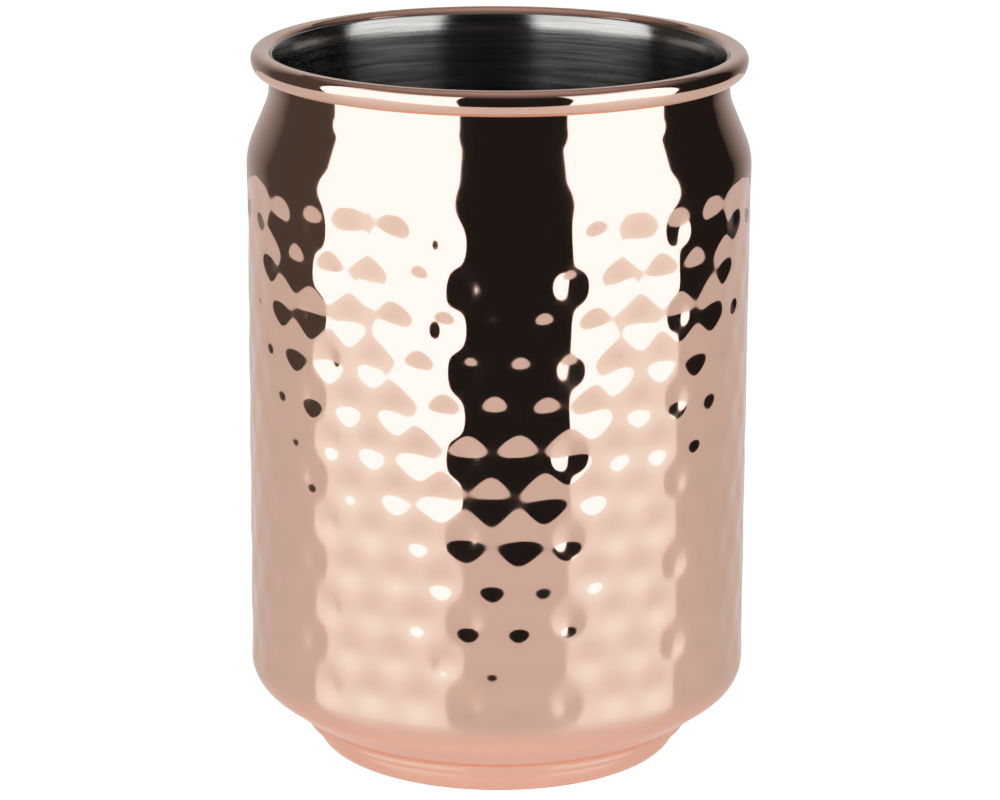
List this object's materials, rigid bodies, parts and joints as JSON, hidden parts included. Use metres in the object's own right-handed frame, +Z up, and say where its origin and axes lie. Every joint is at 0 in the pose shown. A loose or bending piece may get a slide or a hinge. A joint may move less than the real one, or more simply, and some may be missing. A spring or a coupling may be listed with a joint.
{
  "type": "drinking cup",
  "caption": "Straight-sided, double-walled metal drinking cup with a hammered copper-plated outside, a rolled bead at the mouth and a brushed steel inside.",
  "frame": {"origin": "centre of the foot, on the surface that the cup stands on", "axes": "+Z up along the cup's axis of revolution; +X and +Y are level, and the view from -Y is the front"},
  "size_m": [0.0854, 0.0854, 0.1222],
  "materials": {
    "copper_plate": "mirror polish over hammered steel",
    "brushed_steel": "satin, brushed round the axis"
  },
  "bodies": {
    "root": {"outer_shell": "copper_plate", "rim_bead": "copper_plate", "foot_ring": "copper_plate", "inner_cup": "brushed_steel", "base_plate": "brushed_steel"}
  },
  "joints": []
}
